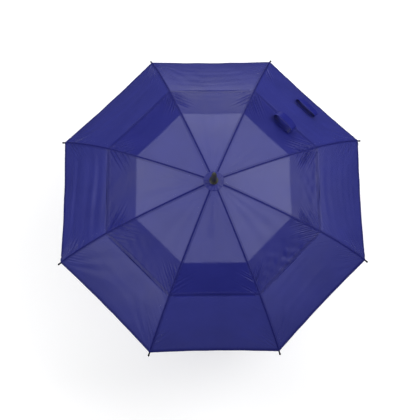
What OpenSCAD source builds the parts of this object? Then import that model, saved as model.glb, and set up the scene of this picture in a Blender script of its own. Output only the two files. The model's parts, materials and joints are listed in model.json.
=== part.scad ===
// Golf umbrella, open: a manual frame of bowed ribs under a vented double canopy.
// The shaft runs along Z and the origin is the middle of the hand grip.
// A rib part is drawn in the XZ plane, with X away from the shaft, and then turned to its rib.

/* [Ribs] */
// Number of ribs, and of gores in each canopy
rib_count = 8; // [6:1:10]
// Height of the rib pivots above the middle of the grip
pivot_h = 855; // [760:5:900]
// Radius of the hinge wire's circle in the crown and in the runner
wire_circle_r = 14; // [13.5:0.5:16]
// Slope of a rib where it leaves the crown, in degrees below level
crown_slope = 9; // [6:0.5:12]
// Radius of the inner rib's bow
inner_bow_r = 1862; // [1500:10:2400]
// Length of the inner rib, from its pivot to the flex joint
inner_len = 455; // [430:5:480]
// Slope of the outer rib at the flex joint
outer_slope = 29; // [26:0.5:32]
// Slope of the outer rib at its tip
tip_slope = 47; // [42:0.5:52]
// Radius of the outer rib's bow
outer_bow_r = 871; // [750:5:1000]
// Diameter of the rib rods
rod_d = 3.6; // [3:0.1:4]
// Distance along the rib from its pivot to the stretcher joint
joint_at = 330; // [300:5:345]
// How far the stretcher's rivet sits below the rib's centre line
rivet_drop = 6; // [5.8:0.1:7]

/* [Canopy] */
// Radius from the shaft to the corner of the canopy cloth
canopy_r = 660; // [640:1:664]
// Radius of the upper canopy's hem, measured along a rib
upper_hem_r = 445; // [400:5:448]
// Radius of the vent, the hole in the middle of the lower canopy
vent_r = 319; // [250:1:360]
// Thickness of the cloth's stand-in
cloth_t = 0.8; // [0.6:0.1:1]
// Radius of the cloth washer under the finial
rosette_r = 39; // [30:1:45]

/* [Shaft and handle] */
// Diameter of the shaft
shaft_d = 14; // [13.6:0.1:14]
// Diameter of the grip
grip_d = 36; // [32:1:40]
// Length of the grip
grip_len = 190; // [170:2:200]
// Height of the finial's tip above the rib pivots
finial_h = 102; // [80:1:120]
// Length of the runner below its hinge wire
runner_len = 62; // [56:1:70]

/* [Closure straps] */
// Length of strap in each fastened loop
strap_loop = 240; // [220:5:260]
// Width of a strap
strap_w = 30; // [24:1:32]
// Height of the upper canopy's loop
upper_strap_h = 44; // [30:1:48]
// Height of the lower canopy's loop
lower_strap_h = 26; // [20:1:32]
// Distance from the shaft to the middle of the upper canopy's loop
upper_strap_at = 380; // [370:1:392]
// Distance from the shaft to the middle of the lower canopy's loop
lower_strap_at = 528; // [500:1:560]
// How far the loops sit from the gore's middle, towards its first rib
strap_side = 15; // [0:1:30]

/* [Hidden] */
$fn = 48;
arc_fn = 720;
eps = 0.01;

// Angles around the shaft
gore_turn = 360 / rib_count;
first_rib = gore_turn / 2;

// Heights of the cloth's underside above a rib's centre line
lower_cloth_off = 3.4;
upper_cloth_off = 4.8;
rosette_off = 6.0;
// Half the gap between neighbouring gores
seam_gap = 0.2;
// Gap between a part that lies on cloth and the cloth
cloth_gap = 0.4;
// Steps in a gore's bow
upper_steps = 10;
lower_steps = 12;

// Eyes on the hinge wires
wire_r = 0.6;
eye_r = 2.5;
eye_w = 2.8;
eye_hole_r = 0.75;
tab_h = 3.6;
tab_len = 14;
slot_w = 3.4;
notch_r = 17.5;
hub_r = 9;
slot_from = 9.6;

// Rivet joint between rib and stretcher
rivet_r = 0.9;
rivet_gap = 0.05;
lug_r = 2.2;
lug_w = 2.4;
collar_r = 2.8;
collar_len = 12;
fork_in = 1.6;
fork_out = 2.8;
fork_h = 4;
fork_from = 6;
fork_to = 14;
rivet_head_r = 1.8;
rivet_head_at = 3.1;
rivet_head_t = 0.6;

// Ribs and stretchers
flex_gap = 1;
cap_r = 3;
cap_ball_r = 3.9;
cap_over = 9;
cap_neck = 2;
cap_past = 7.5;
rib_slip = 0.05;

// Shaft, crown, finial and runner
shaft_wall = 1.6;
shaft_in_grip = 171;
shaft_below_pivot = 1;
stop_r = 8.6;
stop_h = 6;
stop_gap = 0.6;
crown_up = 3.5;
crown_down = 5;
crown_sleeve = 25;
stud_r = 5;
stud_up = 30;
finial_base_r = 17;
finial_neck_r = 10.2;
finial_tip_r = 9.6;
// Radius of the finial's point, at each depth below its tip
finial_point = [[0.6, 0], [3.4, 2], [6.4, 6.5], [8.6, 14]];
finial_point_len = 24;
runner_slip = 0.08;
runner_wall_r = 9.4;
runner_half_h = 4;
flare_r = 12.5;
flare_h = 7;
button_r = 4.5;
button_slip = 0.08;
button_z = 36;
pocket_from = 8.8;
button_from = 11.6;
button_to = 18.6;
housing_to = 15.2;
housing_w = 15;
housing_h = 26;
spring_r = 3.2;
spring_wire = 0.8;
strap_t = 1.2;

// Slope of the inner rib at a distance s along it
function inner_slope(s) = crown_slope + s / inner_bow_r * 180 / PI;
// Point of the inner rib's centre line at a distance s along it
function inner_at(s) = [
    wire_circle_r + inner_bow_r * (sin(inner_slope(s)) - sin(crown_slope)),
    pivot_h - inner_bow_r * (cos(crown_slope) - cos(inner_slope(s)))
];
flex = inner_at(inner_len);
// Point of the outer rib's centre line where its slope is a
function outer_at(a) = flex
    + outer_bow_r * [sin(a) - sin(outer_slope), cos(a) - cos(outer_slope)];
joint_slope = inner_slope(joint_at);
rivet = inner_at(joint_at) - rivet_drop * [sin(joint_slope), cos(joint_slope)];
runner_h = 2 * rivet[1] - pivot_h;
stretcher_len = norm([rivet[0] - wire_circle_r, rivet[1] - runner_h]);
stretcher_slope = atan2(rivet[1] - runner_h, rivet[0] - wire_circle_r);

// Slope of a rib at a radius r from the shaft
function rib_slope(r) = r < flex[0]
    ? asin(sin(crown_slope) + (r - wire_circle_r) / inner_bow_r)
    : asin(sin(outer_slope) + (r - flex[0]) / outer_bow_r);
// Height of a rib's centre line at a radius r from the shaft
function rib_z(r) = r < flex[0]
    ? pivot_h - inner_bow_r * (cos(crown_slope) - cos(rib_slope(r)))
    : flex[1] - outer_bow_r * (cos(outer_slope) - cos(rib_slope(r)));
// Height of a surface that runs a distance off above the rib's centre line
function over_rib(r, off) = rib_z(r) + off / cos(rib_slope(r));

// Turns a rib part to rib i
module at_rib(i) {
    rotate([0, 0, first_rib + (i - 1) * gore_turn]) children();
}

// Puts a part at a point [x, z] with its X axis sloping down by a
module along(p, a) {
    translate([p[0], 0, p[1]]) rotate([0, a, 0]) children();
}

// A pin or hole across a rib, at the local origin
module cross(r, w) {
    rotate([90, 0, 0]) cylinder(r = r, h = w, center = true);
}

// A round rod bowed to radius bow_r, from slope a to slope b, through p where its slope is s
module bowed_rod(p, s, bow_r, a, b, d) {
    translate([p[0] - bow_r * sin(s), 0, p[1] - bow_r * cos(s)])
        rotate([90, 0, 0])
            rotate([0, 0, 90 - b])
                rotate_extrude(angle = b - a, $fn = arc_fn)
                    translate([bow_r, 0]) circle(d = d, $fn = 24);
}

// The flat tab and eye by which a rib or stretcher hangs on a hinge wire
module wire_eye() {
    difference() {
        union() {
            cross(eye_r, eye_w);
            translate([0, -eye_w / 2, -tab_h / 2]) cube([tab_len, eye_w, tab_h]);
        }
        cross(eye_hole_r, eye_w + 1);
    }
}

// Slots for the eyes of all ribs or stretchers, and the groove of their hinge wire
module notches(z, h) {
    for (i = [1:rib_count])
        at_rib(i)
            translate([slot_from, -slot_w / 2, z - h]) cube([notch_r, slot_w, 2 * h]);
    translate([0, 0, z])
        rotate_extrude() translate([wire_circle_r, 0]) circle(r = wire_r + rivet_gap);
}

module hinge_wire(z) {
    translate([0, 0, z])
        rotate_extrude() translate([wire_circle_r, 0]) circle(r = wire_r);
}

// Inner rib: eye, bowed rod, and the collar whose lug carries the stretcher's rivet
module rib_inner(i) {
    color("#202124")
    at_rib(i) {
        along([wire_circle_r, pivot_h], crown_slope) wire_eye();
        bowed_rod([wire_circle_r, pivot_h], crown_slope, inner_bow_r,
                  inner_slope(tab_len - 4), inner_slope(inner_len - flex_gap), rod_d);
        along(inner_at(joint_at), joint_slope) {
            rotate([0, 90, 0]) cylinder(r = collar_r, h = collar_len, center = true);
            translate([-lug_r, -lug_w / 2, -rivet_drop]) cube([2 * lug_r, lug_w, rivet_drop]);
        }
        along(rivet, joint_slope) {
            cross(lug_r, lug_w);
            cross(rivet_r, 2 * (rivet_head_at + rivet_head_t));
            for (side = [-1, 1])
                translate([0, side * (rivet_head_at + rivet_head_t / 2), 0])
                    cross(rivet_head_r, rivet_head_t);
        }
    }
}

// Outer rib: the springy end of the rib, out to the tip cap
module rib_outer(i) {
    gap_slope = flex_gap / outer_bow_r * 180 / PI;
    color("#202124")
    at_rib(i)
        bowed_rod(flex, outer_slope, outer_bow_r, outer_slope + gap_slope, tip_slope, rod_d);
}

// Moulded cap on the rib's end, with a ball tip. The corner of the cloth is sewn to it.
module tip_cap(i) {
    color("#141414")
    at_rib(i)
        along(outer_at(tip_slope), tip_slope)
            difference() {
                union() {
                    translate([-cap_over, 0, 0]) rotate([0, 90, 0])
                        cylinder(r = cap_r, h = cap_over + cap_neck);
                    translate([cap_neck, 0, 0]) rotate([0, 90, 0])
                        cylinder(r1 = cap_r, r2 = cap_ball_r, h = cap_past - cap_neck);
                    translate([cap_past, 0, 0]) sphere(r = cap_ball_r);
                }
                translate([-cap_over - 1, 0, 0]) rotate([0, 90, 0])
                    cylinder(r = rod_d / 2 + rib_slip, h = cap_over + 1.2);
            }
}

// Stretcher: a fork on the rib's lug, a straight rod, and an eye in the runner
module stretcher(i) {
    color("#26282b")
    at_rib(i)
        along([wire_circle_r, runner_h], -stretcher_slope) {
            wire_eye();
            rod_to = stretcher_len - fork_to + 2;
            translate([tab_len - 4, 0, 0]) rotate([0, 90, 0])
                cylinder(d = rod_d, h = rod_to - tab_len + 4);
            translate([stretcher_len, 0, 0]) stretcher_fork();
        }
}

module stretcher_fork() {
    ear_w = fork_out - fork_in;
    translate([-fork_to, -fork_out, -fork_h / 2])
        cube([fork_to - fork_from, 2 * fork_out, fork_h]);
    for (side = [-1, 1])
        translate([0, side * (fork_in + fork_out) / 2, 0])
            difference() {
                union() {
                    cross(lug_r, ear_w);
                    translate([-fork_from - 1, -ear_w / 2, -fork_h / 2])
                        cube([fork_from + 1, ear_w, fork_h]);
                }
                cross(rivet_r + rivet_gap, ear_w + 1);
            }
}

// One gore of cloth between rib i and the next, straight across and bowed along its length
module gore(i, from_r, to_r, steps, off) {
    turn = [for (side = [0, 1]) first_rib + (i - 1 + side) * gore_turn];
    points = [
        for (k = [0:steps])
            let (r = from_r + (to_r - from_r) * k / steps)
                for (side = [0, 1], layer = [0, 1])
                    let (a = turn[side], in = seam_gap * (side == 0 ? 1 : -1))
                        [r * cos(a) - in * sin(a), r * sin(a) + in * cos(a),
                         over_rib(r, off + layer * cloth_t)]
    ];
    // Corner of a cross-section: 0 and 1 on the first rib, 2 and 3 on the next, odd on top
    function id(k, corner) = 4 * k + corner;
    faces = concat(
        [[id(0, 3), id(0, 1), id(0, 0), id(0, 2)]],
        [[id(steps, 1), id(steps, 3), id(steps, 2), id(steps, 0)]],
        [for (k = [0:steps - 1]) [id(k, 1), id(k, 3), id(k + 1, 3), id(k + 1, 1)]],
        [for (k = [0:steps - 1]) [id(k, 0), id(k + 1, 0), id(k + 1, 2), id(k, 2)]],
        [for (k = [0:steps - 1]) [id(k, 1), id(k + 1, 1), id(k + 1, 0), id(k, 0)]],
        [for (k = [0:steps - 1]) [id(k + 1, 3), id(k, 3), id(k, 2), id(k + 1, 2)]]
    );
    color("#2c2f78") polyhedron(points, faces);
}

module upper_gore(i) {
    gore(i, hub_r, upper_hem_r, upper_steps, upper_cloth_off);
}

module lower_gore(i) {
    gore(i, vent_r, canopy_r, lower_steps, lower_cloth_off);
}

// Closure strap fastened to itself as a loop, lying on the first gore near its middle
module strap(at, h, off) {
    to_rib = 1 / cos(gore_turn / 2);
    slope = atan(tan(rib_slope(at * to_rib)) * to_rib);
    straight = (strap_loop - PI * h) / 2;
    color("#23266b")
    rotate([0, 0, first_rib + gore_turn / 2])
        translate([at, -strap_side, over_rib(at * to_rib, off)])
            rotate([0, slope, 0])
                translate([-strap_w / 2, 0, h / 2 + cloth_gap])
                    rotate([90, 0, 90])
                        linear_extrude(strap_w)
                            difference() {
                                racetrack(straight, h);
                                racetrack(straight, h - 2 * strap_t);
                            }
}

module racetrack(straight, h) {
    square([straight, h], center = true);
    for (side = [-1, 1])
        translate([side * straight / 2, 0]) circle(d = h);
}

module upper_strap() {
    strap(upper_strap_at, upper_strap_h, upper_cloth_off + cloth_t);
}

module lower_strap() {
    strap(lower_strap_at, lower_strap_h, lower_cloth_off + cloth_t);
}

// Shaft: a tube, with a ring crimped on it that stops the open runner
module shaft() {
    bottom = grip_len / 2 - shaft_in_grip;
    color("#1b1c1e")
    difference() {
        union() {
            translate([0, 0, bottom])
                cylinder(d = shaft_d, h = pivot_h - shaft_below_pivot - bottom);
            translate([0, 0, runner_h + runner_half_h + stop_gap])
                cylinder(r = stop_r, h = stop_h);
        }
        translate([0, 0, bottom - 1])
            cylinder(r = shaft_d / 2 - shaft_wall, h = pivot_h - bottom + 2);
    }
}

// Crown: a slotted disc on top of the shaft that holds the ribs' hinge wire
module crown() {
    color("#161616")
    difference() {
        union() {
            translate([0, 0, pivot_h - crown_down])
                cylinder(r = notch_r, h = crown_down + crown_up);
            translate([0, 0, pivot_h - crown_sleeve]) cylinder(r = hub_r, h = crown_sleeve);
            translate([0, 0, pivot_h]) cylinder(r = stud_r, h = stud_up);
        }
        translate([0, 0, pivot_h - crown_sleeve - 1])
            cylinder(d = shaft_d, h = crown_sleeve + 1 - shaft_below_pivot);
        notches(pivot_h, crown_down + 1);
    }
}

module crown_wire() {
    color("silver") hinge_wire(pivot_h);
}

// Cloth washer between the canopy and the finial
module rosette() {
    inner = stud_r + 0.5;
    color("#23266b")
    rotate_extrude()
        polygon([
            [inner, over_rib(inner, rosette_off)],
            [rosette_r, over_rib(rosette_r, rosette_off)],
            [rosette_r, over_rib(rosette_r, rosette_off + cloth_t)],
            [inner, over_rib(inner, rosette_off + cloth_t)]
        ]);
}

// Finial: the spike on top, screwed down on the crown's stud
module finial() {
    under = rosette_off + cloth_t + 0.05;
    rim = over_rib(finial_base_r, under);
    tip_z = pivot_h + finial_h;
    color("#1d1e1a")
    difference() {
        rotate_extrude()
            polygon([
                [0, over_rib(0, under)],
                [finial_base_r, rim],
                [finial_base_r, rim + 3],
                [finial_neck_r + 2, rim + 6],
                [finial_neck_r, rim + 12],
                [finial_tip_r, tip_z - finial_point_len],
                for (i = [len(finial_point) - 1:-1:0])
                    [finial_point[i][0], tip_z - finial_point[i][1]],
                [0, tip_z]
            ]);
        translate([0, 0, pivot_h]) cylinder(r = stud_r + rivet_gap, h = stud_up + 1);
    }
}

// Grip: a moulded foam sleeve with a closed butt
module grip() {
    half = grip_len / 2;
    r = grip_d / 2;
    color("#17181a")
    difference() {
        rotate_extrude()
            polygon([
                [0, -half], [r - 2, -half], [r, -half + 4], [r, half - 28],
                [r - 3.5, half - 8], [r - 5.5, half - 6], [r - 5.5, half], [0, half]
            ]);
        translate([0, 0, half - shaft_in_grip])
            cylinder(d = shaft_d, h = shaft_in_grip + 1);
    }
}

// Runner: the slider that the stretchers hang on, with a housing for its push button
module runner() {
    foot = runner_h - runner_len;
    color("#161616")
    difference() {
        union() {
            translate([0, 0, runner_h - runner_half_h])
                cylinder(r = notch_r, h = 2 * runner_half_h);
            translate([0, 0, foot]) cylinder(r = runner_wall_r, h = runner_len);
            translate([0, 0, foot]) cylinder(r = flare_r, h = flare_h);
            translate([0, 0, foot + flare_h])
                cylinder(r1 = flare_r, r2 = runner_wall_r, h = flare_h / 2);
            translate([0, -housing_w / 2, runner_h - button_z - housing_h / 2])
                cube([housing_to, housing_w, housing_h]);
        }
        translate([0, 0, foot - 1])
            cylinder(r = shaft_d / 2 + runner_slip, h = runner_len + runner_half_h + 2);
        translate([pocket_from, 0, runner_h - button_z]) rotate([0, 90, 0])
            cylinder(r = button_r + button_slip, h = housing_to);
        notches(runner_h, runner_half_h + 1);
    }
}

module runner_wire() {
    color("silver") hinge_wire(runner_h);
}

// Push button that frees the runner, sliding towards the shaft
module runner_button() {
    color("#2b2b2b")
    translate([button_from, 0, runner_h - button_z]) rotate([0, 90, 0])
        cylinder(r = button_r, h = button_to - button_from);
}

// Spring behind the button, drawn as its envelope
module button_spring() {
    color("silver")
    translate([pocket_from + eps, 0, runner_h - button_z]) rotate([0, 90, 0])
        difference() {
            cylinder(r = spring_r, h = button_from - pocket_from - 2 * eps);
            translate([0, 0, -1]) cylinder(r = spring_r - spring_wire, h = 10);
        }
}

shaft();
crown();
crown_wire();
finial();
rosette();
grip();
runner();
runner_wire();
runner_button();
button_spring();
upper_strap();
lower_strap();
for (i = [1:rib_count]) {
    rib_inner(i);
    rib_outer(i);
    tip_cap(i);
    stretcher(i);
    upper_gore(i);
    lower_gore(i);
}
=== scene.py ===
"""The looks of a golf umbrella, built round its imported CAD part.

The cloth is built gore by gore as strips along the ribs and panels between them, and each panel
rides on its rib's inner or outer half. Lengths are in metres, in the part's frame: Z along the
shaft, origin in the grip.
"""

import json
import math

import bpy
import numpy as np
from mathutils import Matrix, Vector


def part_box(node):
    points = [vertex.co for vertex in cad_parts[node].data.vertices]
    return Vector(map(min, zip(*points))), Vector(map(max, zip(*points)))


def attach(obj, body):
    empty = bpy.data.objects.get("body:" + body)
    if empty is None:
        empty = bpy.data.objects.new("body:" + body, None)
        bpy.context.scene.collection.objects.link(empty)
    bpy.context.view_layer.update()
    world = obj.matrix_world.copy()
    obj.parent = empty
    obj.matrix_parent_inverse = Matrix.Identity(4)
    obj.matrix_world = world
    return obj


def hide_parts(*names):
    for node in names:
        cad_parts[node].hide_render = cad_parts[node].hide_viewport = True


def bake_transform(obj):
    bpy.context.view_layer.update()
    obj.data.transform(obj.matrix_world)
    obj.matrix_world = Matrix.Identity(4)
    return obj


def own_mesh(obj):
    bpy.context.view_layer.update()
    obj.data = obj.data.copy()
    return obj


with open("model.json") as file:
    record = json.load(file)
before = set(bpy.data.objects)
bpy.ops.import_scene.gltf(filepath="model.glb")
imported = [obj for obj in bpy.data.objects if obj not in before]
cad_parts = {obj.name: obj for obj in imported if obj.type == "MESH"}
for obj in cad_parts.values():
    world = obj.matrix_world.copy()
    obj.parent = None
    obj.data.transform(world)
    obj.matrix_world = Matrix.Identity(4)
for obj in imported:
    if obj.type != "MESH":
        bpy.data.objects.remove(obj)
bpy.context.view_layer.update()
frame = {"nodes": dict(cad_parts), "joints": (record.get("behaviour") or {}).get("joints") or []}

# ---------------------------------------------------------------- the CAD part's own numbers
RIBS = 8
PIVOT_R, PIVOT_Z = 0.014, 0.855
CROWN_SLOPE, OUTER_SLOPE = math.radians(9), math.radians(29)
INNER_BOW, OUTER_BOW = 1.862, 0.871
INNER_LEN = 0.455
LOWER_OFF, UPPER_OFF = 0.0034, 0.0048
HUB_R, VENT_R, HEM_R, RIM_R = 0.009, 0.319, 0.445, 0.660
# the rosette lies 0.2 mm higher here than in the CAD part
ROSETTE_OFF = 0.0062
TURN = 2 * math.pi / RIBS
HALF = TURN / 2
FIRST = HALF

joints = {j["name"]: j for j in frame["joints"]}
FOLD = math.radians(joints["fold_1"]["range_deg"][1])
FLEX = math.radians(joints["flex_1"]["range_deg"][0])

FLEX_SLOPE = CROWN_SLOPE + INNER_LEN / INNER_BOW
FLEX_R = PIVOT_R + INNER_BOW * (math.sin(FLEX_SLOPE) - math.sin(CROWN_SLOPE))
FLEX_Z = PIVOT_Z - INNER_BOW * (math.cos(CROWN_SLOPE) - math.cos(FLEX_SLOPE))


def rib_slope(r):
    """Slope of the ribs' two arcs at radius r, in radians."""
    inner = math.sin(CROWN_SLOPE) + (np.minimum(r, FLEX_R) - PIVOT_R) / INNER_BOW
    outer = math.sin(OUTER_SLOPE) + (np.maximum(r, FLEX_R) - FLEX_R) / OUTER_BOW
    return np.where(r < FLEX_R, np.arcsin(inner), np.arcsin(outer))


def rib_z(r):
    """Height of the ribs' two arcs at radius r."""
    c = np.cos(rib_slope(r))
    return np.where(
        r < FLEX_R,
        PIVOT_Z - INNER_BOW * (math.cos(CROWN_SLOPE) - c),
        FLEX_Z - OUTER_BOW * (math.cos(OUTER_SLOPE) - c),
    )


def over_rib(r, off):
    """Height at radius r of a surface that stands square off the ribs by off."""
    return rib_z(r) + off / np.cos(rib_slope(r))


LENGTHS_R = np.linspace(0, 0.68, 1361)
LENGTHS = np.concatenate(
    [[0], np.cumsum(np.hypot(np.diff(LENGTHS_R), np.diff(rib_z(LENGTHS_R))))]
)


def rib_length(r):
    """Length along a rib's line from the shaft's axis to radius r."""
    return np.interp(r, LENGTHS_R, LENGTHS)


def integral(y, x):
    """Area under y over x, by trapezoids."""
    return float(((y[1:] + y[:-1]) / 2 * np.diff(x)).sum())


def smooth(x, lo, hi):
    """0 below lo, 1 above hi, with a soft rise between."""
    t = np.clip((x - lo) / (hi - lo), 0, 1)
    return t * t * (3 - 2 * t)


def bell(x, centre, spread):
    """1 at the centre, fading to both sides."""
    return np.exp(-(((x - centre) / spread) ** 2))


def ripple(x, seed, waves=7, spread=0.45):
    """Seeded irregular wave along x, of wavelength about 1 and height about 1."""
    rng = np.random.default_rng(seed)
    total = np.zeros(np.shape(x))
    for _ in range(waves):
        f = 2 * math.pi * (1 + spread * rng.uniform(-1, 1))
        total = total + np.sin(f * x + rng.uniform(0, 2 * math.pi))
    return total / math.sqrt(waves)


def clouds(x, y, seed, waves=9):
    """Seeded soft lumps over a plane, of wavelength about 1 and height about 1."""
    rng = np.random.default_rng(seed)
    total = np.zeros(np.broadcast(x, y).shape)
    for _ in range(waves):
        a, f = rng.uniform(0, math.pi), 2 * math.pi * rng.uniform(0.55, 1.5)
        phase = rng.uniform(0, 2 * math.pi)
        total = total + np.sin(f * (x * math.cos(a) + y * math.sin(a)) + phase)
    return total / math.sqrt(waves)


# ---------------------------------------------------------------- shape of the cloth
# Gores are numbered like the CAD's, and gore i is centred at azimuth 45 * i degrees.
EDGE_R = {"upper": HEM_R, "lower": RIM_R}
OFF = {"upper": UPPER_OFF, "lower": LOWER_OFF}
SEED = {"upper": 500, "lower": 0}

# the span: how far it sags in the middle, and how far its edge is pulled in
SAG = {"upper": 0.0030, "lower": 0.0065}
PULL = {"upper": 0.0030, "lower": 0.0034}
PULL_FROM = {"upper": 0.37, "lower": 0.55}

# seams and hems: doubled cloth that stands a step higher than the rest
SEAM_HALF = 0.0034
SEAM_RISE = 0.0007
HEM = {"upper": 0.010, "lower": 0.012}
HEM_RISE = 0.0004
STEP_REACH = 0.0012
HEM_ROLL = {"upper": 0.0004, "lower": 0.0012}
ROLL_REACH = 0.0022
HEM_WAVE, HEM_WAVE_HEIGHT = 0.021, 0.00016

# puckers beside the seams, highest near the lower corners and in the band by the upper hem
SEWN_REACH = 0.003
PUCKER_WAVE, PUCKER_SLANT, PUCKER_REACH = 0.0160, 0.8, 0.046
TIP_HEIGHT, TIP_PLACE = 0.00200, 0.050
TIP_PUCKERS = {8: 0.7, 1: 0.6, 4: 1.3, 3: 0.9, 5: 0.4, 6: 0.35, 7: 0.4, 2: 0.5}
BAND_HEIGHT, BAND_R, BAND_REACH = 0.00205, 0.393, 0.040
BAND_PUCKERS = {1: 1.1, 2: 0.5, 3: 1.1, 4: 1.0, 5: 0.7, 6: 0.4, 7: 0.6, 8: 1.1}
UNDER_HEM_HEIGHT, UNDER_HEM_R = 0.00018, 0.455
HUB_HEIGHT, HUB_PLACE, HUB_REACH = 0.00012, 0.05, 0.03

# folds of the lower canopy, and lumps of the upper one
CORNER_FOLD, CORNER_FANS, CORNER_OUT = 0.00075, 2.4, 0.004
LONG_FOLDS = {4: 0.0012, 8: 0.0008, 3: 0.0004, 1: 0.0003, 2: 0.0003}
LONG_FOLD_PLAIN, LONG_FOLD_WAVE = 0.00015, 0.036
RIDE_UP, RIDE_UP_R, RIDE_UP_REACH = 0.0008, 0.470, 0.020
HEM_LUMPS = {7: 0.0011, 6: 0.0004, 5: 0.0004, 8: 0.0007, 3: 0.0003}
HEM_LUMP_PLAIN, LUMP_ACROSS, LUMP_ALONG = 0.0002, 0.055, 0.040
RAY_HEIGHT, RAYS = 0.0004, 3.2
HEM_SWELL, SWELL_PLACE, SWELL_REACH = {3: 0.0010}, 0.016, 0.008
DRAPE, DRAPE_ACROSS, DRAPE_ALONG = 0.0005, 0.11, 0.13


def relief(canopy, gore, r, lam):
    """How far the cloth stands out from the straight span between its ribs."""
    across = np.minimum(lam, 1 - lam) * r * math.sin(TURN)
    span = 4 * lam * (1 - lam)
    side = np.where(lam < 0.5, 0, 1)
    edge = EDGE_R[canopy] - r
    base = 1000 * gore + SEED[canopy]

    flatter = 1 - 0.6 * smooth(r, 0.52, RIM_R)
    out = -SAG[canopy] * span**1.5 * smooth(r, 0.04, 0.30) * flatter
    out = out + SEAM_RISE * (1 - smooth(across, SEAM_HALF, SEAM_HALF + STEP_REACH))
    out = out + HEM_RISE * (1 - smooth(edge, HEM[canopy], HEM[canopy] + STEP_REACH))

    free = 1 - bell(np.maximum(across - SEAM_HALF, 0), 0, SEWN_REACH)
    beside = np.zeros(np.shape(out))
    for s in (0, 1):
        pucker = ripple((r + PUCKER_SLANT * across) / PUCKER_WAVE, base + 10 + s)
        beside = np.where(side == s, pucker, beside)
    if canopy == "lower":
        tip = np.exp(-((edge - TIP_PLACE) ** 2) / 0.0026)
        height = 0.00010 + TIP_PUCKERS[gore] * TIP_HEIGHT * tip
        height = height + UNDER_HEM_HEIGHT * np.exp(-((r - UNDER_HEM_R) ** 2) / 0.0016)
    else:
        height = 0.00008 + 0.00018 * np.exp(-(edge**2) / 0.0012)
        band = np.exp(-(((r - BAND_R) / BAND_REACH) ** 4))
        height = height + BAND_PUCKERS[gore] * BAND_HEIGHT * band
        height = height + HUB_HEIGHT * bell(r, HUB_PLACE, HUB_REACH)
    out = out + height * free * bell(across, 0, PUCKER_REACH) * beside

    x = (lam - 0.5) * r * 2 * math.tan(HALF)
    hem_wave = ripple(x / HEM_WAVE, base + 20)
    out = out + HEM_WAVE_HEIGHT * free * bell(edge, HEM[canopy], 0.010) * hem_wave

    if canopy == "lower":
        # folds that run from each corner into the gore
        for s, share in ((0, lam), (1, 1 - lam)):
            t = share * r * math.sin(TURN)
            d = np.hypot(edge + CORNER_OUT, t)
            turn = np.arctan2(t, edge + CORNER_OUT)
            fan = ripple(turn * CORNER_FANS, base + 30 + s, spread=0.3)
            calm = np.sin(np.clip(turn, 0, math.pi / 2) * 2) ** 2
            size = smooth(d, 0.015, 0.08) * bell(d, 0, 0.17)
            out = out + CORNER_FOLD * fan * calm * size * free
        # long folds parallel to the rim
        size = LONG_FOLDS.get(gore, LONG_FOLD_PLAIN)
        drift = 0.25 * np.sin(5 * lam + gore)
        bands = ripple(edge / LONG_FOLD_WAVE + drift, base + 40, spread=0.35)
        out = out + size * bands * span * smooth(edge, 0.012, 0.05) * smooth(r, 0.44, 0.50)
        # the cloth rides up a little where the upper hem lies on it
        out = out + RIDE_UP * span * bell(r, RIDE_UP_R, RIDE_UP_REACH)
    else:
        size = HEM_LUMPS.get(gore, HEM_LUMP_PLAIN)
        lumps = clouds(x / LUMP_ACROSS, r / LUMP_ALONG, base + 50)
        out = out + size * lumps * span * smooth(r, 0.33, 0.42)
        rays = ripple(lam * RAYS, base + 60, spread=0.3)
        inner = smooth(r, 0.05, 0.16)
        out = out + RAY_HEIGHT * rays * span * inner * (1 - smooth(r, 0.26, 0.40))
        if gore in HEM_SWELL:
            out = out + HEM_SWELL[gore] * span * bell(edge, SWELL_PLACE, SWELL_REACH)
    drape = clouds(x / DRAPE_ACROSS, r / DRAPE_ALONG, base + 70)
    return out + DRAPE * drape * span


def rib_dir(i):
    """Unit vector from the shaft's axis towards rib i."""
    a = FIRST + (i - 1) * TURN
    return np.array([math.cos(a), math.sin(a), 0.0])


def span_points(canopy, gore, r, lam, lift=0.0):
    """Points of a gore at rib radius r and share lam of the way from its first rib to its next."""
    span = 4 * lam * (1 - lam)
    pull = PULL[canopy] * smooth(r, PULL_FROM[canopy], EDGE_R[canopy])
    reach = r - pull * span
    a, b = rib_dir(gore), rib_dir(gore % RIBS + 1)
    flat = reach[..., None] * ((1 - lam)[..., None] * a + lam[..., None] * b)
    flat[..., 2] = over_rib(reach, OFF[canopy])
    middle = (a + b) / np.linalg.norm(a + b)
    slope = np.arctan(np.tan(rib_slope(reach)) / math.cos(HALF))
    out = np.sin(slope)[..., None] * middle
    out[..., 2] = np.cos(slope)
    height = relief(canopy, gore, r, lam) + lift
    # the hem's fold turns down at the very edge
    height = height - HEM_ROLL[canopy] * (1 - smooth(EDGE_R[canopy] - r, 0.0, ROLL_REACH))
    return flat + height[..., None] * out


NUDGE = 0.0004


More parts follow.
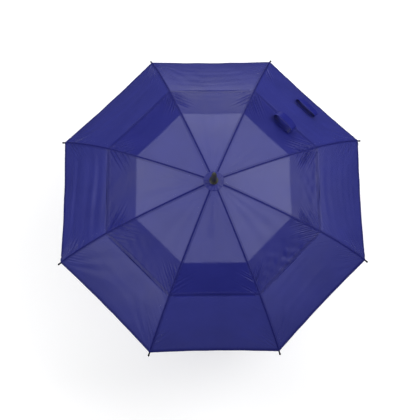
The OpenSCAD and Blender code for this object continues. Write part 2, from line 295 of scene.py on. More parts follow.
def cloth(canopy, rib, r, t, lift=0.0):
    """Points and normals at rib radius r, signed distance t to the side of a rib."""
    r, t, lift = np.broadcast_arrays(r, t, lift)
    r, t = r.astype(float), t.astype(float)
    ahead = np.ones(r.shape, bool) if t.max() > 0 and t.min() >= 0 else t > 0
    sides = []
    for forward in (True, False):
        gore = rib if forward else (rib - 2) % RIBS + 1

        def at(rr, tt):
            lam = np.clip(np.abs(tt) / (rr * math.sin(TURN)), 0, 1)
            return span_points(canopy, gore, rr, lam if forward else 1 - lam, lift)

        sign = 1 if forward else -1
        tt = np.abs(t)
        p = at(r, tt)
        low = np.maximum(tt - NUDGE, 0)
        dt = (at(r, tt + NUDGE) - at(r, low)) * sign
        dr = at(r + NUDGE, tt) - at(r - NUDGE, tt)
        n = np.cross(dr, dt)
        n /= np.maximum(np.linalg.norm(n, axis=-1, keepdims=True), 1e-12)
        n *= np.sign(n[..., 2:3])
        sides.append((p, n))
    points = np.where(ahead[..., None], sides[0][0], sides[1][0])
    normals = np.where(ahead[..., None], sides[0][1], sides[1][1])
    on_rib = np.abs(t) < 1e-9
    both = sides[0][1] + sides[1][1]
    both /= np.linalg.norm(both, axis=-1, keepdims=True)
    normals = np.where(on_rib[..., None], both, normals)
    return points, normals


# ---------------------------------------------------------------- the folded pose
def turned(angle, axis, through):
    """Matrix of a turn about an axis through a point."""
    m = Matrix.Translation(through) @ Matrix.Rotation(angle, 4, axis) @ Matrix.Translation(-through)
    return np.array(m)


def folded(rib, outer):
    """Matrix of an inner or outer rib in the folded pose."""
    e = rib_dir(rib)
    across = Vector((-e[1], e[0], 0))
    pivot = Vector((e[0] * PIVOT_R, e[1] * PIVOT_R, PIVOT_Z))
    m = turned(FOLD, across, pivot)
    if outer:
        bend = Vector((e[0] * FLEX_R, e[1] * FLEX_R, FLEX_Z))
        m = m @ turned(FLEX, across, bend)
    return m


def mid(r):
    """Distance from a rib to the middle of its gore, at rib radius r."""
    return r * math.sin(HALF) * math.cos(HALF)


def strip_half(canopy, r):
    """Half width of the strip that rides on a rib, so that neighbouring strips meet when folded."""
    e = rib_dir(1)
    half = np.full(r.shape, 0.015)
    for outer in (False, True):
        m = folded(1, outer)
        t = np.full(r.shape, 0.015)
        for _ in range(40):
            flat = (r - math.tan(HALF) * t)[:, None] * e
            flat[:, 2] = over_rib(r, OFF[canopy])
            closed = flat @ m[:3, :3].T + m[:3, 3]
            t = 0.5 * t + 0.5 * math.tan(HALF) * np.maximum(closed @ e, 0.004)
        half = np.where((r >= FLEX_R) == outer, t, half)
    kernel = np.ones(5) / 5
    soft = np.convolve(np.pad(half, 2, mode="edge"), kernel, "valid")
    return np.minimum(soft, mid(r))


GRID_R = np.linspace(HUB_R, RIM_R, 500)
STRIP = {c: strip_half(c, GRID_R) for c in ("upper", "lower")}


def strip_width(canopy, r):
    """Half width of a rib's strip at rib radius r."""
    return np.interp(r, GRID_R, STRIP[canopy])


# ---------------------------------------------------------------- meshes
def build(name, points, normals, uv, closed=False, capped=False):
    """Grid of points to a mesh object with its own normals, and cloth coordinates in metres."""
    rows, cols = points.shape[:2]
    index = np.arange(rows * cols).reshape(rows, cols)
    if closed:
        index = np.concatenate([index, index[:, :1]], axis=1)
    quads = np.stack(
        [index[:-1, :-1], index[1:, :-1], index[1:, 1:], index[:-1, 1:]], axis=-1
    ).reshape(-1, 4)
    flat_p, flat_n = points.reshape(-1, 3), normals.reshape(-1, 3)
    a, b, c = (flat_p[quads[:, k]] for k in range(3))
    if (np.cross(b - a, c - a) * flat_n[quads[:, 0]]).sum() < 0:
        quads = quads[:, ::-1]
    faces = quads.tolist()
    if capped:
        ring = np.arange(cols)
        faces += [ring.tolist(), (ring + (rows - 1) * cols)[::-1].tolist()]
    mesh = bpy.data.meshes.new(name)
    mesh.from_pydata(flat_p.tolist(), [], faces)
    layer = mesh.uv_layers.new(name="UVMap")
    corner = np.zeros(len(mesh.loops), np.int32)
    mesh.loops.foreach_get("vertex_index", corner)
    layer.data.foreach_set("uv", uv.reshape(-1, 2)[corner].astype(np.float32).ravel())
    mesh.polygons.foreach_set("use_smooth", np.ones(len(mesh.polygons), bool))
    mesh.normals_split_custom_set_from_vertices(flat_n.tolist())
    obj = bpy.data.objects.new(name, mesh)
    bpy.context.scene.collection.objects.link(obj)
    return obj


def rows_for(canopy, lo, hi, step):
    """Row radii, finer at the hem."""
    fine = [EDGE_R[canopy] - d for d in (0, 0.0008, ROLL_REACH)]
    fine += [EDGE_R[canopy] - HEM[canopy] - d for d in (0.0013, 0, -0.0012)]
    plain = np.linspace(lo, hi, max(3, round((hi - lo) / step)))
    near = [f for f in fine if lo < f < hi]
    kept = [p for p in plain if all(abs(p - f) > 0.0009 for f in near) or p in (lo, hi)]
    return np.array(sorted(kept + near))


# shares of a strip's half width where its columns stand, closest at the seam's edge
ACROSS = np.array([0, 0.06, 0.13, 0.20, 0.235, 0.27, 0.305, 0.36, 0.45, 0.56, 0.70, 0.85, 1.0])


def cut_size(rows, width):
    """Widest width, length and area of a piece of cloth with this width at each row."""
    length = float(rib_length(rows[-1]) - rib_length(rows[0]))
    widest = float(width.max())
    return widest, length, min(integral(width, rib_length(rows)), widest * length)


def cloth_piece(name, canopy, rib, rows, t, lift=None):
    """A piece of the canopy's cloth, with t as its points' distances to the side of a rib."""
    r = np.repeat(rows[:, None], t.shape[1], axis=1)
    up = 0.0 if lift is None else lift(r)
    points, normals = cloth(canopy, rib, r, t, up)
    obj = build(name, points, normals, np.stack([t, rib_length(r)], axis=-1))
    obj.data.materials.append(CANOPY_CLOTH[canopy])
    return obj


def strip_piece(name, canopy, rib, rows):
    """The strip centred on a rib's seam, with its cut size."""
    half = strip_width(canopy, rows)
    share = np.concatenate([-ACROSS[:0:-1], ACROSS])
    obj = cloth_piece(name, canopy, rib, rows, half[:, None] * share[None, :])
    return obj, cut_size(rows, 2 * half)


def panel_piece(name, canopy, rib, side, rows, columns, outer, lift=None):
    """The panel from a rib's strip to the middle of a gore, which folds into a pleat."""
    lo, hi = strip_width(canopy, rows), mid(rows)
    share = np.linspace(0, 1, columns)
    t = side * (lo[:, None] + (hi - lo)[:, None] * share[None, :])
    obj = cloth_piece(name, canopy, rib, rows, t, lift)
    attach(obj, rib_name(rib, outer))
    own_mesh(obj)
    return obj


def rib_name(rib, outer):
    """Body of a rib's inner or outer half."""
    return ("rib_outer_" if outer else "rib_inner_") + str(rib)


def pleat_plane(rib, side, outer):
    """Axis and anchor, at rest, of the plane midway between a rib and its neighbour in the folded
    pose.
    """
    e = rib_dir(rib)
    across = np.array([-e[1], e[0], 0.0])
    normal = math.cos(HALF) * side * across - math.sin(HALF) * e
    m = folded(rib, outer)
    axis = m[:3, :3].T @ normal
    anchor = np.linalg.inv(m) @ np.array([0, 0, PIVOT_Z, 1.0])
    return axis.tolist(), anchor[:3].tolist()


def gore_of(rib, side):
    """Number of the gore on one side of a rib."""
    return rib if side > 0 else (rib - 2) % RIBS + 1


# ---------------------------------------------------------------- materials
def new_material(name):
    material = bpy.data.materials.new(name)
    material.use_nodes = True
    tree = material.node_tree
    shader = next(n for n in tree.nodes if n.type == "BSDF_PRINCIPLED")
    output = next(n for n in tree.nodes if n.type == "OUTPUT_MATERIAL")
    return material, tree, shader, output


def maths(tree, operation, a, b=None):
    n = tree.nodes.new("ShaderNodeMath")
    n.operation = operation
    for socket, value in zip(n.inputs, (a, b)):
        if value is None:
            continue
        if isinstance(value, (int, float)):
            socket.default_value = value
        else:
            tree.links.new(value, socket)
    return n.outputs[0]


def ramp(tree, value, from_lo, from_hi, to_lo=0.0, to_hi=1.0):
    n = tree.nodes.new("ShaderNodeMapRange")
    n.inputs[1].default_value = from_lo
    n.inputs[2].default_value = from_hi
    n.inputs[3].default_value = to_lo
    n.inputs[4].default_value = to_hi
    tree.links.new(value, n.inputs[0])
    return n.outputs[0]


def mix_colour(tree, factor, a, b):
    n = tree.nodes.new("ShaderNodeMix")
    n.data_type = "RGBA"
    tree.links.new(factor, n.inputs[0])
    for socket, value in ((n.inputs[6], a), (n.inputs[7], b)):
        if isinstance(value, tuple):
            socket.default_value = (*value, 1)
        else:
            tree.links.new(value, socket)
    return n.outputs[2]


def noise(tree, vector, scale, detail=3.0, rough=0.55):
    n = tree.nodes.new("ShaderNodeTexNoise")
    n.inputs["Scale"].default_value = scale
    n.inputs["Detail"].default_value = detail
    n.inputs["Roughness"].default_value = rough
    tree.links.new(vector, n.inputs["Vector"])
    return n.outputs[0]


def bump(tree, shader, height, strength, distance, normal=None):
    n = tree.nodes.new("ShaderNodeBump")
    n.inputs["Strength"].default_value = strength
    n.inputs["Distance"].default_value = distance
    tree.links.new(height, n.inputs["Height"])
    if normal is not None:
        tree.links.new(normal, n.inputs["Normal"])
    if shader is not None:
        tree.links.new(n.outputs[0], shader.inputs["Normal"])
    return n.outputs[0]


def object_vector(tree, scale=(1, 1, 1)):
    at = tree.nodes.new("ShaderNodeTexCoord")
    m = tree.nodes.new("ShaderNodeMapping")
    m.inputs["Scale"].default_value = scale
    tree.links.new(at.outputs["Object"], m.inputs["Vector"])
    return m.outputs[0]


BLUE = (0.0098, 0.0122, 0.152)
# colour of the painted shade on the seams, their allowance and the hems
SEAM_SHADE_BLUE = (0.0038, 0.0045, 0.078)
THREAD = (0.030, 0.034, 0.22)
WEAVE_WAVE = 0.0011
SEAM_FADE = (0.0028, 0.0040)
ALLOWANCE_START, ALLOWANCE_END = (0.0040, 0.0050), (0.0092, 0.0100)
STITCH_PITCH = 0.0034
STITCH_EDGE, STITCH_END = (0.00030, 0.00055), (0.66, 0.74)
SEAM_ROW, HEM_ROW = 0.0021, 0.0022


def stitch_marks(tree, from_row, along):
    """Dashes of thread, by the distance from the row of stitches and the place along it."""
    dash = maths(tree, "FRACT", maths(tree, "MULTIPLY", along, 1 / STITCH_PITCH))
    thread = ramp(tree, from_row, *STITCH_EDGE, 1.0, 0.0)
    return maths(tree, "MULTIPLY", thread, ramp(tree, dash, *STITCH_END, 1.0, 0.0))


def cloth_material(name, see_through, hem_v, glow, seams=True, open_weave=0.0, gloss=0.3):
    """Woven pongee. Light comes through the threads by the share see_through, and past them by
    open_weave; hem_v is where the hem's doubled cloth begins."""
    material, tree, shader, output = new_material(name)
    uv = tree.nodes.new("ShaderNodeUVMap")
    uv.uv_map = "UVMap"
    parts = tree.nodes.new("ShaderNodeSeparateXYZ")
    tree.links.new(uv.outputs[0], parts.inputs[0])
    u, v = parts.outputs[0], parts.outputs[1]

    # weave: two crossed sets of threads
    warp = maths(tree, "SINE", maths(tree, "MULTIPLY", u, 2 * math.pi / WEAVE_WAVE))
    weft = maths(tree, "SINE", maths(tree, "MULTIPLY", v, 2 * math.pi / WEAVE_WAVE))
    threads = maths(tree, "MULTIPLY", warp, weft)
    slub = noise(tree, object_vector(tree, (260, 260, 90)), 1.0)
    grain = maths(tree, "ADD", maths(tree, "MULTIPLY", threads, 0.5), slub)

    # fading and handling marks
    marks = noise(tree, object_vector(tree), 7.0, 4.0)
    faded = tuple(1.16 * c for c in BLUE)
    tone = mix_colour(tree, ramp(tree, marks, 0.35, 0.68), BLUE, faded)

    # painted shade: the seam, its allowance on one side and the hem are darkened in colour for the
    # light their doubled cloth holds back and for the seam's valley shade, besides the smaller
    # see-through share they get below
    distance = maths(tree, "ABSOLUTE", u)
    if seams:
        seam = ramp(tree, distance, *SEAM_FADE, 1.0, 0.0)
    else:
        seam = maths(tree, "MULTIPLY", u, 0.0)
    hem = ramp(tree, v, hem_v - 0.0008, hem_v + 0.0002)
    starts = ramp(tree, u, *ALLOWANCE_START)
    allowance = maths(tree, "MULTIPLY", starts, ramp(tree, u, *ALLOWANCE_END, 1.0, 0.0))
    allowance_shade = maths(tree, "MULTIPLY", allowance, 0.22 if seams else 0.0)
    colour = mix_colour(tree, allowance_shade, tone, SEAM_SHADE_BLUE)
    colour = mix_colour(tree, maths(tree, "MULTIPLY", seam, 0.85), colour, SEAM_SHADE_BLUE)
    colour = mix_colour(tree, maths(tree, "MULTIPLY", hem, 0.45), colour, SEAM_SHADE_BLUE)

    # a row of stitches on each side of each seam, and one along the hem
    row = maths(tree, "ABSOLUTE", maths(tree, "SUBTRACT", distance, SEAM_ROW))
    on_seam = stitch_marks(tree, row, v)
    if not seams:
        on_seam = maths(tree, "MULTIPLY", on_seam, 0.0)
    row = maths(tree, "ABSOLUTE", maths(tree, "SUBTRACT", v, hem_v + HEM_ROW))
    stitches = maths(tree, "MAXIMUM", on_seam, stitch_marks(tree, row, u))
    colour = mix_colour(tree, stitches, colour, THREAD)
    tree.links.new(colour, shader.inputs["Base Color"])

    shine = ramp(tree, seam, 0.0, 1.0, gloss, 0.4 * gloss)
    tree.links.new(shine, shader.inputs["Specular IOR Level"])
    shader.inputs["Sheen Weight"].default_value = 0.02
    shader.inputs["Sheen Roughness"].default_value = 0.5
    tree.links.new(ramp(tree, marks, 0.3, 0.7, 0.40, 0.47), shader.inputs["Roughness"])

    woven = bump(tree, None, grain, 0.30, 0.00025)
    bump(tree, shader, stitches, 0.55, 0.0006, woven)

    # light through the threads
    through = tree.nodes.new("ShaderNodeBsdfTranslucent")
    through.inputs["Color"].default_value = (*glow, 1)
    mix = tree.nodes.new("ShaderNodeMixShader")
    doubled = maths(tree, "MAXIMUM", seam, hem)
    thick = maths(tree, "MAXIMUM", doubled, maths(tree, "MULTIPLY", allowance, 0.3))
    share = maths(tree, "MULTIPLY", ramp(tree, thick, 0.0, 1.0, 1.0, 0.05), see_through)
    tree.links.new(share, mix.inputs[0])
    tree.links.new(shader.outputs[0], mix.inputs[1])
    tree.links.new(through.outputs[0], mix.inputs[2])
    if not open_weave:
        tree.links.new(mix.outputs[0], output.inputs["Surface"])
        return material

    # light past the threads
    gaps = tree.nodes.new("ShaderNodeBsdfTransparent")
    past = tree.nodes.new("ShaderNodeMixShader")
    share = maths(tree, "MULTIPLY", ramp(tree, thick, 0.0, 0.6, 1.0, 0.0), open_weave)
    tree.links.new(share, past.inputs[0])
    tree.links.new(mix.outputs[0], past.inputs[1])
    tree.links.new(gaps.outputs[0], past.inputs[2])
    tree.links.new(past.outputs[0], output.inputs["Surface"])
    return material


def moulded_material(name, colour, roughness, grain=900.0, depth=0.00012, gloss=0.5):
    """Moulded plastic or foam: a fine pitted surface, worn a little paler in places."""
    material, tree, shader, _ = new_material(name)
    wear = noise(tree, object_vector(tree), 38.0, 5.0)
    worn = tuple(min(1, 1.9 * c) for c in colour)
    tone = mix_colour(tree, ramp(tree, wear, 0.42, 0.75), colour, worn)
    tree.links.new(tone, shader.inputs["Base Color"])
    rough = ramp(tree, wear, 0.3, 0.7, roughness, min(1, roughness + 0.12))
    tree.links.new(rough, shader.inputs["Roughness"])
    shader.inputs["Specular IOR Level"].default_value = gloss
    bump(tree, shader, noise(tree, object_vector(tree), grain, 2.0), 0.35, depth)
    return material


def metal_material(name, colour, roughness):
    """Drawn metal: fine marks along its length."""
    material, tree, shader, _ = new_material(name)
    shader.inputs["Metallic"].default_value = 1.0
    marks = noise(tree, object_vector(tree, (1400, 1400, 60)), 1.0, 3.0)
    tone = mix_colour(tree, marks, colour, tuple(0.8 * c for c in colour))
    tree.links.new(tone, shader.inputs["Base Color"])
    rough = ramp(tree, marks, 0.3, 0.7, roughness, roughness + 0.14)
    tree.links.new(rough, shader.inputs["Roughness"])
    bump(tree, shader, marks, 0.2, 0.00008)
    return material


# for pieces without a hem: a place far past their edge
NO_HEM = 9.0
upper_v = float(rib_length(HEM_R - HEM["upper"]))
lower_v = float(rib_length(RIM_R - HEM["lower"]))
CANOPY_CLOTH = {
    "upper": cloth_material("upper_cloth", 0.135, upper_v, (0.40, 0.41, 0.64), open_weave=0.015),
    "lower": cloth_material("lower_cloth", 0.07, lower_v, (0.20, 0.22, 0.45)),
}
strap_cloth = cloth_material("strap_cloth", 0.02, NO_HEM, (0.1, 0.1, 0.3), False, gloss=0.12)
rosette_cloth = cloth_material("rosette_cloth", 0.05, NO_HEM, (0.1, 0.1, 0.3), False, gloss=0.5)
fibreglass = moulded_material("fibreglass", (0.012, 0.012, 0.013), 0.30, 420.0, 0.00006)
black_plastic = moulded_material("black_plastic", (0.004, 0.004, 0.004), 0.45, gloss=0.10)
finial_plastic = moulded_material("finial_plastic", (0.026, 0.027, 0.019), 0.36)
grip_foam = moulded_material("grip_foam", (0.016, 0.016, 0.017), 0.78, 1500.0, 0.0003)
steel = metal_material("steel", (0.62, 0.62, 0.64), 0.28)
shaft_paint = moulded_material("shaft_paint", (0.013, 0.013, 0.014), 0.24, 250.0, 0.00004)

# ---------------------------------------------------------------- canopy
LOWER_JOIN = FLEX_R + 0.0005
TUCK = 0.022
TUCK_RISE = 0.0005
ROW_STEP = {"upper": 0.0034, "vent": 0.006, "lower": 0.0036}
COLUMNS = {"upper": 34, "vent": 28, "lower": 44}
LEAST_PANEL = 0.0006


def tuck_lift(r):
    """The outer cloth's inner edge lies just over the inner cloth."""
    return TUCK_RISE * (1 - smooth(r, FLEX_R - 0.004, FLEX_R + 0.0005))


def first_panel_row(canopy, start):
    """Rib radius where a panel first has some width beside its rib's strip."""
    r = np.linspace(start, start + 0.06, 400)
    wide = mid(r) - strip_width(canopy, r) > LEAST_PANEL
    return float(r[np.argmax(wide)])


def seam_strips(rib):
    """The two strips on a rib's seams. The upper one rides on the rib's inner half."""
    gores = (rib, gore_of(rib, -1))
    rows = rows_for("upper", HUB_R, HEM_R, ROW_STEP["upper"])
    piece, size = strip_piece(f"upper_seam_{rib}", "upper", rib, rows)
    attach(piece, rib_name(rib, False))
    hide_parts(*(f"upper_gore_{g}" for g in gores))

    rows = rows_for("lower", VENT_R, RIM_R, ROW_STEP["lower"])
    piece, size = strip_piece(f"lower_seam_{rib}", "lower", rib, rows)
    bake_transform(piece)
    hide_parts(*(f"lower_gore_{g}" for g in gores))


# each kind of panel: its canopy, its first and last rib radius, whether it rides on the outer
# half of the rib, and how it is lifted
PANELS = {
    "upper": ("upper", first_panel_row("upper", HUB_R), HEM_R, False, None),
    "vent": ("lower", VENT_R, LOWER_JOIN, False, None),
    "lower": ("lower", FLEX_R - TUCK, RIM_R, True, tuck_lift),
}
for rib in range(1, RIBS + 1):
    seam_strips(rib)
    for side, tag in ((1, "a"), (-1, "b")):
        for kind, (canopy, start, end, outer, lift) in PANELS.items():
            name = f"{kind}_panel_{rib}{tag}"
            rows = rows_for(canopy, start, end, ROW_STEP[kind])
            piece = panel_piece(
                name, canopy, rib, side, rows, COLUMNS[kind], outer, lift
            )
            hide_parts(f"{canopy}_gore_{gore_of(rib, side)}")


# ---------------------------------------------------------------- turned parts
def lathe(name, profile, material, segments=96, waves=None):
    """Turns a profile of (radius, height) points round Z, with smooth normals."""
    profile = np.array(profile, float)
    angle = np.linspace(0, 2 * math.pi, segments, endpoint=False)
    r = np.repeat(profile[:, :1], segments, axis=1)
    z = np.repeat(profile[:, 1:], segments, axis=1)
    if waves is not None:
        z = z + waves(r, angle[None, :])
    points = np.stack([r * np.cos(angle), r * np.sin(angle), z], axis=-1)
    d_row = np.gradient(points, axis=0)
    d_col = (np.roll(points, -1, axis=1) - np.roll(points, 1, axis=1)) / 2
    n = np.cross(d_col, d_row)
    size = np.linalg.norm(n, axis=-1, keepdims=True)
    n = np.where(size > 1e-12, n / np.maximum(size, 1e-12), [0, 0, 1])
    length = np.concatenate([[0], np.cumsum(np.linalg.norm(np.diff(profile, axis=0), axis=1))])
    uv = np.stack([r * angle[None, :], np.repeat(length[:, None], segments, axis=1)], axis=-1)
    obj = build(name, points, n, uv, closed=True)
    obj.data.materials.append(material)
    return obj


def rounded(corners, radius, steps=6):
    """Rounds every corner of a profile but its two ends."""
    corners = [np.array(c, float) for c in corners]
    out = [corners[0]]
    for before, corner, after in zip(corners, corners[1:], corners[2:]):
        a, b = before - corner, after - corner
        cut = min(radius, 0.45 * np.linalg.norm(a), 0.45 * np.linalg.norm(b))
        p, q = corner + a / np.linalg.norm(a) * cut, corner + b / np.linalg.norm(b) * cut
        for k in range(steps + 1):
            t = k / steps
            out.append((1 - t) ** 2 * p + 2 * t * (1 - t) * corner + t * t * q)
    out.append(corners[-1])
    return out


low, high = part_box("finial")
base = low.z
tip = high.z
profile = [
    (0.0004, tip), (0.0030, tip - 0.0012), (0.0062, tip - 0.0064), (0.0085, tip - 0.0140),
    (0.0096, tip - 0.0240), (0.0099, base + 0.030), (0.0104, base + 0.0165),
    (0.0130, base + 0.0115), (0.0150, base + 0.0105), (0.0169, base + 0.0085),
    (0.0169, base + 0.0042), (0.0150, base + 0.0030), (0.0060, base + 0.0036),
]
finial = lathe("finial_turned", rounded(profile, 0.003, 7), finial_plastic)
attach(finial, "shaft_body")
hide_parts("finial")


ROSETTE_R = 0.0386
PLEAT_HEIGHT = 0.0005


def pleats(r, angle):
    """Height of the rosette's gathers, which grow towards its edge."""
    grow = smooth(r, 0.017, 0.036)
    soft = 0.75 * np.sin(17 * angle + 0.4 * np.sin(3 * angle)) + 0.35 * np.sin(29 * angle + 1.0)
    return PLEAT_HEIGHT * grow * (soft + 0.35)


washer = lathe(
    "rosette_pleated",
    [
        (r, over_rib(r, ROSETTE_OFF) - 0.0012 * smooth(r, 0.0372, ROSETTE_R))
        for r in np.linspace(0.0065, ROSETTE_R, 30)
    ],
    rosette_cloth,
    180,
    pleats,
)
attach(washer, "shaft_body")
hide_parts("rosette")

# ---------------------------------------------------------------- closure straps
STRAP_T = 0.0013
STRAP_WIDTH = 0.030
STRAP_LOOP = 0.240
STRAP_LAP = 0.16
STRAP_LAP_START = 0.36
STRAP_SIDE = 0.015
STRAP_ROUND = 2.5
STRAP_KEEP = 0.4
STRAP_STEPS, STRAP_SECTION = 150, 44


def rounded_box(angle, power):
    """Cosine and sine of an angle, squared up by a power below 1."""
    c, d = np.cos(angle), np.sin(angle)
    return np.sign(c) * np.abs(c) ** power, np.sign(d) * np.abs(d) ** power


def strap_piece(canopy, at, height, lean, seed):
    """A strap of doubled cloth fastened to itself as a flattened ring, lying on the first gore."""
    straight = (STRAP_LOOP - math.pi * height) / 2
    to_rib = 1 / math.cos(HALF)
    r = at * to_rib
    slope = math.atan(math.tan(float(rib_slope(np.array(r)))) * to_rib)
    a = FIRST + HALF
    out_dir = np.array([math.cos(a), math.sin(a), 0])
    across = np.array([-math.sin(a), math.cos(a), 0])
    down = math.cos(slope) * out_dir - math.sin(slope) * np.array([0, 0, 1.0])
    up = math.sin(slope) * out_dir + math.cos(slope) * np.array([0, 0, 1.0])
    beside = 0.5 - STRAP_SIDE / (2 * r * math.sin(HALF))
    foot = span_points(canopy, 1, np.array([r]), np.array([beside]))[0] + 0.0006 * up

    # the ring's line: from the fastened end round once, and on over itself
    s = np.linspace(0, 1 + STRAP_LAP, STRAP_STEPS)
    turn = 2 * math.pi * (s - STRAP_LAP_START)
    half_w = (straight + height) / 2 - STRAP_T
    half_h = height / 2 - STRAP_T
    wide, tall = rounded_box(turn, 2 / STRAP_ROUND)
    shape_w, shape_h = wide * half_w, tall * half_h
    over = smooth(s, 0.94, 1.04) * 0.0020
    grow_w = 1 + over / half_w
    grow_h = 1 + over / half_h
    slack = 0.0010 * np.sin(3 * turn + seed) * (shape_h > -half_h * 0.6)
    px = shape_w * grow_w + lean * (shape_h + half_h)
    pz = shape_h * grow_h + half_h + 0.0016 - slack * 0.6
    line = np.stack([px, pz], axis=-1)
    tangent = np.gradient(line, axis=0)
    tangent /= np.maximum(np.linalg.norm(tangent, axis=1, keepdims=True), 1e-9)
    side_n = np.stack([tangent[:, 1], -tangent[:, 0]], axis=-1)

    # the band's section: a flat oval, thinner at its stitched edges
    edge = []
    for k in range(STRAP_SECTION):
        q = 2 * math.pi * k / STRAP_SECTION
        w = np.sign(math.cos(q)) * abs(math.cos(q)) ** 0.35 * STRAP_WIDTH / 2
        h = np.sign(math.sin(q)) * abs(math.sin(q)) ** 0.6 * STRAP_T / 2
        edge.append((w, h))
    edge = np.array(edge)
    twist = 0.0012 * np.sin(2 * turn + seed)
    points = np.zeros((STRAP_STEPS, STRAP_SECTION, 3))
    for k, (w, h) in enumerate(edge):
        flat_x = line[:, 0] + side_n[:, 0] * h
        flat_z = line[:, 1] + side_n[:, 1] * h + twist * w / STRAP_WIDTH
        points[:, k] = foot + flat_x[:, None] * across + w * down + flat_z[:, None] * up
    d_row = np.gradient(points, axis=0)
    d_col = np.roll(points, -1, axis=1) - np.roll(points, 1, axis=1)
    normals = np.cross(d_row, d_col)
    normals /= np.maximum(np.linalg.norm(normals, axis=-1, keepdims=True), 1e-12)
    middle = foot + line[:, :1] * across + line[:, 1:] * up
    if ((points - middle[:, None]) * normals).sum() < 0:
        normals = -normals
    along = np.concatenate([[0], np.cumsum(np.linalg.norm(np.diff(line, axis=0), axis=1))])
    uv = np.stack(np.broadcast_arrays((edge[:, 0] + 0.02)[None, :], along[:, None]), axis=-1)
    obj = build(f"{canopy}_strap_ring", points, normals, uv, closed=True, capped=True)
    obj.data.materials.append(strap_cloth)
    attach(obj, f"{canopy}_strap")
    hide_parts(f"{canopy}_strap")
    # the distance from the ring's middle to its pleat's plane in the folded pose, and an anchor
    # along that plane's normal
    axis, anchor = pleat_plane(1, 1, canopy == "lower")
    normal = np.array(axis)
    middle_point = foot + up * height / 2
    distance = float((middle_point - np.array(anchor)) @ normal)
    anchor = middle_point - normal * distance / (1 - STRAP_KEEP)
    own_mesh(obj)


strap_piece("upper", at=0.380, height=0.044, lean=0.10, seed=0.3)
strap_piece("lower", at=0.528, height=0.026, lean=0.06, seed=1.7)

# ---------------------------------------------------------------- the button's spring
COIL_TURNS = 2.5
COIL_FLAT = 0.3
COIL_WIRE = 0.00045
# roughly the wire's length in one turn, for its UVs
COIL_TURN_LENGTH = 0.018

low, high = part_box("button_spring")
along = np.linspace(0, COIL_TURNS, 160)
rise = smooth(along, COIL_FLAT, COIL_TURNS - COIL_FLAT)
around = 2 * math.pi * along
radial = np.stack([0 * around, np.cos(around), np.sin(around)], axis=-1)
centre = radial * (high.y - COIL_WIRE / 2)
centre[:, 0] = low.x + COIL_WIRE / 2 + rise * (high.x - low.x - COIL_WIRE)
centre[:, 2] += (low.z + high.z) / 2
section = np.linspace(0, 2 * math.pi, 10, endpoint=False)
out_part = np.cos(section)[None, :, None] * radial[:, None]
outward = out_part + np.sin(section)[None, :, None] * np.array([1.0, 0, 0])
points = centre[:, None] + COIL_WIRE / 2 * outward
round_wire = section[None, :] * COIL_WIRE / 2
uv = np.stack(np.broadcast_arrays(round_wire, along[:, None] * COIL_TURN_LENGTH), axis=-1)
coil = build("button_coil", points, outward, uv, closed=True, capped=True)
coil.data.materials.append(steel)
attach(coil, "runner")
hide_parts("button_spring")
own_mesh(coil)

# ---------------------------------------------------------------- finishes of the CAD parts
FINISH = {
    "shaft": shaft_paint, "crown": black_plastic, "crown_wire": steel, "runner": black_plastic,
    "runner_wire": steel, "runner_button": black_plastic, "grip": grip_foam,
    "tip_cap": black_plastic, "rib_inner": fibreglass, "rib_outer": fibreglass,
    "stretcher": fibreglass,
}
for name, obj in frame["nodes"].items():
    stem = name.rsplit("_", 1)[0] if name[-1].isdigit() else name
    if stem in FINISH:
        obj.data.materials.clear()
        obj.data.materials.append(FINISH[stem])

# ---------------------------------------------------------------- floor, light and camera
FLOOR_Z = -0.095
FLOOR_SIZE = 60.0
FLOOR_GLOW = 0.19
WORLD_LIGHT = 0.38
AIM_Z = 0.75


def plane(name, size, z):
    """A level square."""
    mesh = bpy.data.meshes.new(name)
    s = size / 2
    mesh.from_pydata([(-s, -s, z), (s, -s, z), (s, s, z), (-s, s, z)], [], [(0, 1, 2, 3)])
    obj = bpy.data.objects.new(name, mesh)
    bpy.context.scene.collection.objects.link(obj)
    return obj


floor = plane("floor", FLOOR_SIZE, FLOOR_Z)
pale, tree, shader, _ = new_material("pale_floor")
shader.inputs["Base Color"].default_value = (0.88, 0.88, 0.88, 1)
shader.inputs["Roughness"].default_value = 0.9
shader.inputs["Specular IOR Level"].default_value = 0.1
shader.inputs["Emission Color"].default_value = (1, 1, 1, 1)
shader.inputs["Emission Strength"].default_value = FLOOR_GLOW
# from below the floor can be seen through
clear = tree.nodes.new("ShaderNodeBsdfTransparent")
either = tree.nodes.new("ShaderNodeMixShader")
output = next(n for n in tree.nodes if n.type == "OUTPUT_MATERIAL")
below = tree.nodes.new("ShaderNodeNewGeometry").outputs["Backfacing"]
tree.links.new(below, either.inputs[0])
tree.links.new(shader.outputs[0], either.inputs[1])
tree.links.new(clear.outputs[0], either.inputs[2])
tree.links.new(either.outputs[0], output.inputs["Surface"])
floor.data.materials.append(pale)
floor.visible_glossy = False

world = bpy.data.worlds.new("studio")
bpy.context.scene.world = world
world.use_nodes = True
world.cycles_visibility.glossy = False
background = next(n for n in world.node_tree.nodes if n.type == "BACKGROUND")
background.inputs[0].default_value = (1, 1, 1, 1)
background.inputs[1].default_value = WORLD_LIGHT


def softbox(name, azimuth, elevation, distance, width, height, power):
    """A rectangular light that faces the canopy from an azimuth and elevation in degrees."""
    a, e = math.radians(azimuth), math.radians(elevation)
    aim = Vector((0, 0, AIM_Z))
    away = Vector((math.cos(a) * math.cos(e), math.sin(a) * math.cos(e), math.sin(e)))
    light = bpy.data.lights.new(name, "AREA")
    light.shape = "RECTANGLE"
    light.size, light.size_y = width, height
    light.energy = power
    obj = bpy.data.objects.new(name, light)
    obj.location = aim + distance * away
    obj.rotation_mode = "QUATERNION"
    obj.rotation_quaternion = away.to_track_quat("Z", "Y")
    bpy.context.scene.collection.objects.link(obj)
    return obj


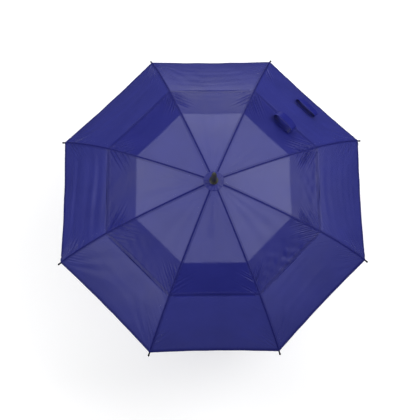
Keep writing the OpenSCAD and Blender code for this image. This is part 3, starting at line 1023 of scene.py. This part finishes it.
# name, azimuth, elevation, distance, width, height, power, whether it shows in the sheen
# The powers, FLOOR_GLOW and WORLD_LIGHT are near the averages of two least-squares fits of the
# gores' tones to the photograph's, by a script that isn't handed in.
LIGHTS = (
    ("light_n", 90, 14, 3.2, 1.0, 1.3, 30.4, True),
    ("light_n_high", 90, 36, 3.2, 1.2, 1.2, 4.8, True),
    ("light_ne", 45, 50, 3.2, 1.4, 1.4, 10.0, True),
    ("light_e", 14, 22, 3.2, 1.2, 1.2, 7.6, True),
    ("light_e_high", 12, 50, 3.2, 1.4, 1.4, 46.0, True),
    ("light_se", 328, 26, 3.2, 1.2, 1.2, 11.6, True),
    ("light_sw", 212, 26, 3.2, 1.2, 1.2, 32.0, True),
    ("light_w", 163, 45, 3.2, 1.4, 1.4, 29.4, True),
    ("light_nw", 122, 50, 3.2, 1.2, 1.2, 1.2, True),
    ("light_fill", 60, 62, 3.4, 2.2, 2.2, 7.2, False),
)
for name, azimuth, elevation, distance, width, height, power, shows in LIGHTS:
    light = softbox(name, azimuth, elevation, distance, width, height, power)
    light.visible_glossy = shows

# The camera looks down on the canopy. Its place is in corner radii, from the rim's middle, which
# lies RIM_DROP below the ribs' pivots. TILT, AWAY, ASIDE and LENS come from a least-squares fit to
# the photograph's corners, hems and finial, by a script that isn't handed in.
RIM_DROP = 0.2817
TILT = (13.93, 0.72, 0.45)
AWAY = 4.765
ASIDE = (0.016, 0.060)
LENS = 66.14

rx, ry, rz = (math.radians(v) for v in TILT)
turn_x = np.array([[1, 0, 0], [0, math.cos(rx), math.sin(rx)], [0, -math.sin(rx), math.cos(rx)]])
turn_y = np.array([[math.cos(ry), 0, math.sin(ry)], [0, 1, 0], [-math.sin(ry), 0, math.cos(ry)]])
turn_z = np.array([[math.cos(rz), -math.sin(rz), 0], [math.sin(rz), math.cos(rz), 0], [0, 0, 1]])
axes = turn_y @ turn_x @ turn_z
stand = np.array([0, 0, AWAY]) - np.array([*ASIDE, 0])
place = np.array([0, 0, PIVOT_Z - RIM_DROP]) + RIM_R * (axes.T @ stand)

lens = bpy.data.cameras.new("camera")
lens.lens, lens.sensor_width = LENS, 36.0
lens.clip_start, lens.clip_end = 0.05, 60
camera = bpy.data.objects.new("camera", lens)
matrix = Matrix.Identity(4)
for i in range(3):
    for j in range(3):
        matrix[i][j] = axes.T[i][j]
    matrix[i][3] = place[i]
camera.matrix_world = matrix
bpy.context.scene.collection.objects.link(camera)
bpy.context.scene.camera = camera
bpy.context.scene.view_settings.view_transform = "Standard"
